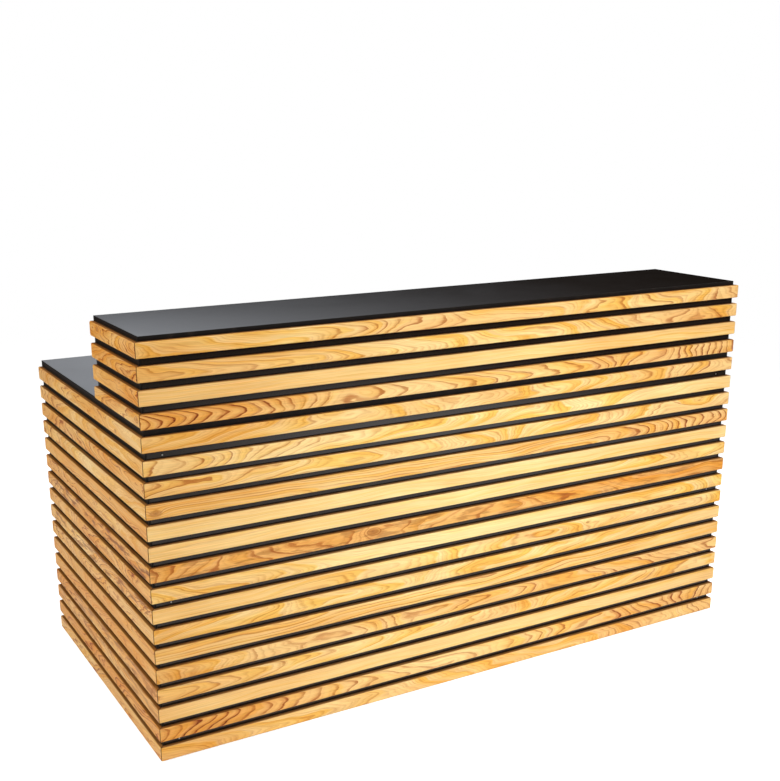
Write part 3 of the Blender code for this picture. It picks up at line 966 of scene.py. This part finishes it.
black_film, shader = new_material("black_film_face", Specular_IOR_Level=0.42)
spot, wear = worn(black_film, 1.6)
mottle = noise(spot, 45, 3)
plug(shader, Base_Color=mix_colour(times(wear["Scratch"], 0.08), mix_colour(mottle, *FILM), FILM_SCRATCH),
     Roughness=scaled(wear["Smudge"], 0.03, scaled(mottle, 0.02, 0.07)),
     Normal=bump(noise(spot, 700, 2), 0.0001, 0.06))

black_edge, shader = new_material("black_painted_edge", Specular_IOR_Level=0.25)
spot, wear = worn(black_edge, 5.0)
plies = drawn_noise(spot, (30, 30, 1400))
plug(shader, Base_Color=mix_colour(times(wear["Scratch"], 0.5), mix_colour(plies, *PAINT), PAINT_SCRATCH),
     Roughness=scaled(plies, 0.2, 0.42), Normal=bump(plies, 0.0003, 0.35))
print("black finishes", black_film.name, black_edge.name)

# %% [markdown]
# A board is a block with all its edges eased by a sanding block. Its broad faces carry the film and its
# narrow ones the paint. Where a dowel or a magnet goes in, it is drilled: a cylinder is taken out of it
# with a Boolean, because a hole is what shows when the worktop is lifted off.

# %% Boards
EASED = 0.0008
EASED_STEPS = 3
DRILL_CLEAR = 0.0003
BOARD_SMOOTH = 40


def shape_board(name, low, high, thin, holes=()):
    """A board with eased edges; thin is the axis of its thickness."""
    board = add_block(name, low, high)
    edit(board)
    round_edges(lambda ends: True, EASED, EASED_STEPS)
    leave_edit(BOARD_SMOOTH)
    board.data.materials.append(black_film)
    board.data.materials.append(black_edge)
    edit(board, "FACE")
    pick("faces", lambda points: spread(points, thin) > FLAT
         or min(abs(points[0][thin] - level) for level in (low[thin], high[thin])) > FLAT)
    board.active_material_index = 1
    bpy.ops.object.material_slot_assign()
    leave_edit(BOARD_SMOOTH)
    keep_flat(lambda points: any(spread(points, axis) < FLAT for axis in range(3)))
    for node in holes:
        combine(board, rod_of("bit", node, DRILL_CLEAR, DRILL_CLEAR), "DIFFERENCE")
    return board


WORKTOP_DOWELS = ("left_worktop_dowel", "right_worktop_dowel")
RISER_DOWELS = ("left_riser_dowel", "right_riser_dowel")
BAR_TOP_DOWELS = ("left_bar_top_dowel", "right_bar_top_dowel")
BOARDS = {
    # node: (body, axis of its thickness, what is let into it)
    "front_panel": ("front", 1, WORKTOP_DOWELS),
    "worktop": ("worktop", 2, WORKTOP_DOWELS + RISER_DOWELS),
    "riser_panel": ("riser", 1, RISER_DOWELS + BAR_TOP_DOWELS),
    "bar_top": ("bar_top", 2, BAR_TOP_DOWELS),
    "left_end_panel": ("left_end", 0, ("left_end_magnet",)),
    "right_end_panel": ("right_end", 0, ("right_end_magnet",)),
    "riser_left_end_panel": ("riser_left_end", 0, ()),
    "riser_right_end_panel": ("riser_right_end", 0, ()),
}
for node, (body, thin, holes) in BOARDS.items():
    board = shape_board(f"board_{node}", *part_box(node), thin, holes)
    dress(board, body, "black_board", node)
    if node == "worktop":
        clear = Vector((DRILL_CLEAR, DRILL_CLEAR, DRILL_CLEAR))
        for side_name in SIDES:
            low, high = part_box(f"{side_name}_strike_plate")
            combine(board, add_block("recess", low - clear, high + clear), "DIFFERENCE")
    print(board.name, len(board.data.polygons), "faces")

# %% [markdown]
# An end board is covered outside with a thin sheet of the same plywood, painted all over, which the
# slats are let into. The end board could be that much thicker, but in the frame the sheet belongs to
# the cladding, so it is a piece of its own.

# %% The ends' outer facings
FACING = 0.003

for side_name, side in SIDES.items():
    for prefix, rear in (("", REAR_Y), ("riser_", RISER_REAR_Y)):
        node = f"{prefix}{side_name}_end_cladding"
        low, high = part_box(node)
        facing = shape_board(f"board_{prefix}{side_name}_end_facing",
                             (side * (HALF - FACING), FRONT_Y, low.z), (side * HALF, rear, high.z), 0)
        facing.data.materials[0] = black_edge
        dress(facing, f"{prefix}{side_name}_end", "black_board", node)
        print(facing.name, "from", round(low.z, 4), "to", round(high.z, 4))

# %% [markdown]
# ## Metal, beech and plastic
#
# The fittings are plain shop goods: zinc-plated hinges and screws, nickel-plated magnets, fluted beech
# dowels and grey nylon glides. Flat colours would do at this size from afar, but lifted boards bring
# them close. Zinc is a bright metal with fine drawn lines and cloudy plating, so its roughness changes
# and its colour hardly does.

# %% Fitting finishes
ZINC = ((0.50, 0.50, 0.49, 1), (0.66, 0.66, 0.63, 1))
ZINC_SMUDGE = (0.34, 0.33, 0.31, 1)
NICKEL = ((0.70, 0.68, 0.63, 1), (0.55, 0.53, 0.49, 1))
BEECH = ((0.62, 0.41, 0.24, 1), (0.52, 0.32, 0.17, 1))
BEECH_FLECK = (0.33, 0.18, 0.09, 1)
NYLON = ((0.055, 0.055, 0.055, 1), (0.085, 0.083, 0.08, 1))
NYLON_SCRATCH = (0.2, 0.2, 0.19, 1)

zinc, shader = new_material("zinc_plated_steel_fittings", Metallic=1.0)
spot, wear = worn(zinc, 14.0)
drawn = drawn_noise(spot, (900, 900, 30))
plating = noise(spot, 120, 3)
plug(shader, Base_Color=mix_colour(times(wear["Smudge"], 0.25), mix_colour(plating, *ZINC), ZINC_SMUDGE),
     Roughness=scaled(plating, 0.18, scaled(drawn, 0.14, 0.22)), Normal=bump(drawn, 0.0001, 0.2))

nickel, shader = new_material("nickel_plated_magnet_face", Metallic=1.0)
spot, wear = worn(nickel, 30.0)
plug(shader, Base_Color=mix_colour(wear["Smudge"], *NICKEL), Roughness=scaled(wear["Scratch"], 0.3, 0.18))

beech, shader = new_material("beech_dowel_wood", Specular_IOR_Level=0.3)
spot = object_place(beech)
flecks = ease(drawn_noise(spot, (1500, 1500, 220)), 0.55, 0.68)
growth = drawn_noise(spot, (500, 500, 25))
plug(shader, Base_Color=mix_colour(times(flecks, 0.5), mix_colour(growth, *BEECH), BEECH_FLECK),
     Roughness=scaled(growth, 0.15, 0.5), Normal=bump(flecks, 0.0001, 0.3))

nylon, shader = new_material("grey_nylon_glide", Specular_IOR_Level=0.4)
spot, wear = worn(nylon, 25.0)
moulded = noise(spot, 1600, 3)
plug(shader, Base_Color=mix_colour(times(wear["Scratch"], 0.5), mix_colour(moulded, *NYLON), NYLON_SCRATCH),
     Roughness=scaled(moulded, 0.2, 0.4), Normal=bump(moulded, 0.0001, 0.2))
print("fittings", [finish.name for finish in (zinc, nickel, beech, nylon)])

# %% [markdown]
# ## Screws
#
# Every slat is held from behind, through its board, so that no fixing shows on the wood. Inside the
# counter that leaves neat rows of countersunk heads. A disc with a dark cross painted on would pass from
# afar, but a driver's cross catches light, so one head is modelled: a low drum whose top is inset twice,
# once for its rim and once for the cross. Four of the sixteen inner corners stay out and the others are
# drawn in, and the star between them is pushed down.

# %% One screw head
SCREW_RADIUS = 0.0031
SCREW_RISE = 0.0005
SCREW_SIDES = 16
SCREW_RIM = 0.18 * SCREW_RADIUS
SCREW_DOME = 0.06 * SCREW_RADIUS  # how far the top stands over the rim
SCREW_LAND = 0.20 * SCREW_RADIUS  # the flat round the cross
CROSS_DEEP = 0.5 * SCREW_RADIUS
CROSS_WAIST = 0.42  # how near the middle the corners between two arms lie
CROSS_FOOT = 0.45  # the size of the cross at its bottom
ARM_HALF = 0.1  # a corner this near an axis, in parts of the cross, is an arm's end
STAR_EDGE = 1.01  # just outside the star


def shape_screw(name):
    """A cross-head screw's head at the origin, its top to +Z."""
    bpy.ops.object.select_all(action="DESELECT")
    bpy.ops.mesh.primitive_cylinder_add(vertices=SCREW_SIDES, radius=SCREW_RADIUS, depth=SCREW_RISE)
    head = bpy.context.object
    head.name = name
    edit(head, "FACE")
    pick("faces", lambda points: all(point.z > SCREW_RISE / 2 - FLAT for point in points))
    bpy.ops.mesh.inset(thickness=SCREW_RIM)
    bpy.ops.transform.translate(value=(0, 0, SCREW_DOME))
    bpy.ops.mesh.inset(thickness=SCREW_LAND)
    star = next(face for face in bmesh.from_edit_mesh(head.data).faces if face.select)
    reach = max(vert.co.xy.length for vert in star.verts)
    level = star.verts[0].co.z

    def on_star(point):
        return point.z > level - FLAT and point.xy.length < reach * STAR_EDGE

    bpy.ops.mesh.select_mode(type="VERT")
    pick("verts", lambda points: on_star(points[0])
         and min(abs(points[0].x), abs(points[0].y)) > reach * ARM_HALF)
    bpy.ops.transform.resize(value=(CROSS_WAIST, CROSS_WAIST, 1), center_override=(0, 0, level))
    bpy.ops.mesh.select_mode(type="FACE")
    pick("faces", lambda points: all(on_star(point) for point in points))
    bpy.ops.mesh.extrude_region_move(TRANSFORM_OT_translate={"value": (0, 0, -CROSS_DEEP)})
    bpy.ops.transform.resize(value=(CROSS_FOOT, CROSS_FOOT, 1), center_override=(0, 0, 0))
    leave_edit(30)
    head.data.materials.append(zinc)
    return head


screw = shape_screw("screw_pattern")
print("screw head", len(screw.data.polygons), "faces")

# %% [markdown]
# The head could be copied by hand to each place. Arrays do it in two steps: one array along a slat and
# one from row to row. In the photograph a few small heads also show outside, in the gaps near the
# corners. They are set out in the same way.

# %% Rows of screws
TURNS = {"front": (math.radians(90), 0, 0), "back": (math.radians(-90), 0, 0),
         "left": (0, math.radians(-90), 0), "right": (0, math.radians(90), 0)}
END_INSIDE = abs(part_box("right_end_panel")[0].x)
FRONT_FIRST, FRONT_SCREWS = -0.84, (5, (0.42, 0, 0))  # the first one's place, their count and step
END_FIRST, END_SCREWS = 0.09, (3, (0, 0.41, 0))  # from the front board's face
RISER_END_FIRST, RISER_END_SCREWS = 0.08, (2, (0, 0.24, 0))
CORNER_SCREW = 0.936  # from the counter's middle
CORNER_SIZE = 0.62  # of the screws at the corners, against the others
CORNER_SCREWS = (3, (0, 0, 7 * SLAT_PITCH))


def screw_rows(name, body, first, facing, *steps, size=1.0):
    """Copies of the screw, turned to face one way, and repeated along each step."""
    only(screw)
    bpy.ops.object.duplicate()
    row = bpy.context.object
    row.rotation_euler = TURNS[facing]
    row.location = first
    row.scale = (size, size, size)
    settle(name)
    for count, step in steps:
        repeat(row, count, step)
    dress(row, body, "zinc_plated_steel")


def row_steps(first, last):
    """The middle of the first row, and the steps of an array up to the last row."""
    count = first - last + 1
    return row_low(first) + SLAT_HALF, (count, (0, 0, (row_low(last) - row_low(first)) / (count - 1)))


low_z, low_rows = row_steps(ROWS, RISER_ROWS + 1)
riser_z, riser_rows = row_steps(RISER_ROWS, 1)
gap_z = row_low(ROWS - 1) - SLAT_PITCH / 2 + SLAT_HALF
screw_rows("slat_screws_front", "front", (FRONT_FIRST, INSIDE_Y, low_z), "back", FRONT_SCREWS, low_rows)
screw_rows("slat_screws_riser", "riser", (FRONT_FIRST, INSIDE_Y, riser_z), "back", FRONT_SCREWS, riser_rows)
for side_name, side in SIDES.items():
    x = side * END_INSIDE
    screw_rows(f"slat_screws_{side_name}_end", f"{side_name}_end", (x, FRONT_Y + END_FIRST, low_z),
               INWARD[side_name], END_SCREWS, low_rows)
    screw_rows(f"slat_screws_riser_{side_name}_end", f"riser_{side_name}_end",
               (x, FRONT_Y + RISER_END_FIRST, riser_z), INWARD[side_name], RISER_END_SCREWS, riser_rows)
    screw_rows(f"corner_screws_{side_name}", "front", (side * CORNER_SCREW, FRONT_Y, gap_z), "front",
               CORNER_SCREWS, size=CORNER_SIZE)

# %% [markdown]
# ## Piano hinges
#
# Each end folds on a long hinge in the inner corner. A leaf is sheet steel rolled round a pin, cut away
# where the other leaf's knuckles sit. It could be bent from a thin strip, but a plate joined with a
# barrel and notched by Booleans gives the same outline, and both leaves then mesh with no gap to fix.

# %% Hinges
KNUCKLE_RADIUS = 0.0035
KNUCKLE_LENGTH = 0.066  # about: a hinge has an odd number of knuckles
KNUCKLE_GAP = 0.0004
LEAF_THICK = 0.0015
LEAF_WIDTH = 0.024
LEAF_EASED = 0.0002
PIN_SIDES = 16
PIN_PAST = 0.0006  # how far the pin stands out of its knuckles
PIN_ROUND = 0.0005
HINGE_SCREW_END = 0.025  # from a hinge's end to its first screw
HINGE_SCREW_OUT = 0.6 * LEAF_WIDTH  # from the pin
HINGES = (("", "front", 8), ("riser_", "riser", 3))  # prefix, front body, screws in a leaf


def shape_leaf(name, foot, head, along, toward_board, own):
    """A leaf: along points from the pin down the leaf, toward_board at the board that it lies on."""
    leaf = add_block(name, foot + toward_board * (KNUCKLE_RADIUS - LEAF_THICK),
                     head + along * LEAF_WIDTH + toward_board * KNUCKLE_RADIUS)
    combine(leaf, add_rod("barrel", foot.x, foot.y, foot.z, head.z, KNUCKLE_RADIUS), "UNION")
    count = 2 * max(1, round(((head.z - foot.z) / KNUCKLE_LENGTH - 1) / 2)) + 1
    length = (head.z - foot.z) / count
    reach = (along + toward_board) * (KNUCKLE_RADIUS + KNUCKLE_GAP)
    first = 1 - own
    notch = add_block("notch", foot + Vector((0, 0, first * length - KNUCKLE_GAP)) - reach,
                      foot + Vector((0, 0, (first + 1) * length + KNUCKLE_GAP)) + reach)
    repeat(notch, (count + own) // 2, (0, 0, 2 * length))
    combine(leaf, notch, "DIFFERENCE")
    apply_modifier(leaf, "BEVEL", width=LEAF_EASED, segments=2, limit_method="ANGLE",
                   angle_limit=math.radians(50))
    only(leaf)
    bpy.ops.object.shade_smooth_by_angle(angle=math.radians(30))
    leaf.data.materials.append(zinc)
    return leaf


def shape_pin(name, node):
    pin = rod_of(name, node, longer=PIN_PAST, sides=PIN_SIDES)
    edit(pin)
    round_edges(lambda ends: spread(ends, 2) < FLAT, PIN_ROUND, 2)
    leave_edit()
    pin.data.materials.append(zinc)
    return pin


for prefix, front_body, screws in HINGES:
    for side_name, side in SIDES.items():
        hinge = f"{prefix}{side_name}_hinge"
        low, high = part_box(f"{hinge}_pin")
        axis = middle_of(f"{hinge}_pin")
        foot, head = Vector((axis.x, axis.y, low.z)), Vector((axis.x, axis.y, high.z))
        step = (0, 0, (high.z - low.z - 2 * HINGE_SCREW_END) / (screws - 1))
        leaves = (("front", front_body, "back", (-side, 0, 0), (0, -1, 0)),
                  ("end", f"{prefix}{side_name}_end", INWARD[side_name], (0, 1, 0), (side, 0, 0)))
        for own, (part, body, facing, *ways) in enumerate(leaves):
            along, toward_board = map(Vector, ways)
            leaf = shape_leaf(f"leaf_{hinge}_{part}", foot, head, along, toward_board, own)
            dress(leaf, body, "zinc_plated_steel", f"{hinge}_{part}_leaf")
            first = foot + along * HINGE_SCREW_OUT + toward_board * (KNUCKLE_RADIUS - LEAF_THICK)
            screw_rows(f"screws_{hinge}_{part}", body, first + Vector((0, 0, HINGE_SCREW_END)), facing,
                       (screws, step))
        dress(shape_pin(f"pin_{hinge}", f"{hinge}_pin"), front_body, "zinc_plated_steel", f"{hinge}_pin")
        print(hinge, "with", screws, "screws in a leaf")
bpy.data.objects.remove(screw, do_unlink=True)

# %% [markdown]
# ## Dowels
#
# The worktop, the raised bar and its top sit on beech dowels. A bought dowel is fluted so that glue and
# air can escape, and its ends are chamfered to find the hole. The flutes could be cut one by one, but
# drawing in every other edge of a drum makes them all at once.

# %% Dowels
DOWELS = {"worktop": "front", "riser": "worktop", "bar_top": "riser"}  # what sits on it: its body
FLUTE = 0.93  # the radius in a flute, against the dowel's
DOWEL_CHAMFER = 0.0007


def shape_dowel(name, node):
    peg = rod_of(name, node)
    middle = middle_of(node)
    turn = 2 * math.pi / ROD_SIDES

    def in_flute(points):
        out = points[0] - middle
        return round(math.atan2(out.y, out.x) / turn) % 2

    edit(peg, "VERT")
    pick("verts", in_flute)
    bpy.ops.transform.resize(value=(FLUTE, FLUTE, 1), center_override=middle)
    bpy.ops.mesh.select_mode(type="EDGE")
    round_edges(lambda ends: spread(ends, 2) < FLAT, DOWEL_CHAMFER, 2)
    leave_edit(50)
    peg.data.materials.append(beech)
    return peg


for board, body in DOWELS.items():
    left = shape_dowel(f"dowel_left_{board}", f"left_{board}_dowel")
    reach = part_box(f"right_{board}_dowel")[0].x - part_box(f"left_{board}_dowel")[0].x
    right = copy_of(left, f"dowel_right_{board}", (reach, 0, 0))
    dress(left, body, "beech_dowel", f"left_{board}_dowel")
    dress(right, body, "beech_dowel", f"right_{board}_dowel")
    print("dowels under the", board, "are", round(reach, 3), "m apart")

# %% [markdown]
# ## Glides and magnets
#
# The glides are small moulded feet that are nailed in, so a drum with a rounded rim is enough, and one
# is copied to all five places. The magnets and their strike plates are plain discs and plates. The
# frame has these shapes already, so they only get their finish.

# %% Glides and magnets
GLIDES = {"front_left_glide": "front", "front_middle_glide": "front", "front_right_glide": "front",
          "left_end_glide": "left_end", "right_end_glide": "right_end"}
GLIDE_ROUND = 0.001
GLIDE_STEPS = 4


def shape_glide(name, node):
    low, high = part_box(node)
    middle = middle_of(node)
    foot = add_rod(name, middle.x, middle.y, low.z, FOOT_Z, (high.x - low.x) / 2)
    edit(foot)
    round_edges(lambda ends: max(end.z for end in ends) < FOOT_Z - FLAT, GLIDE_ROUND, GLIDE_STEPS)
    leave_edit()
    foot.data.materials.append(nylon)
    return foot


first, *others = GLIDES
feet = {first: shape_glide(f"foot_{first}", first)}
for node in others:
    offset = middle_of(node) - middle_of(first)
    feet[node] = copy_of(feet[first], f"foot_{node}", (offset.x, offset.y, 0))
for node, foot in feet.items():
    dress(foot, GLIDES[node], "glide_plastic", node)
for side_name in SIDES:
    for node, finish in ((f"{side_name}_end_magnet", nickel), (f"{side_name}_strike_plate", zinc)):
        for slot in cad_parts[node].material_slots:
            slot.material = finish
print("glides", len(feet), "and magnets", len(SIDES))
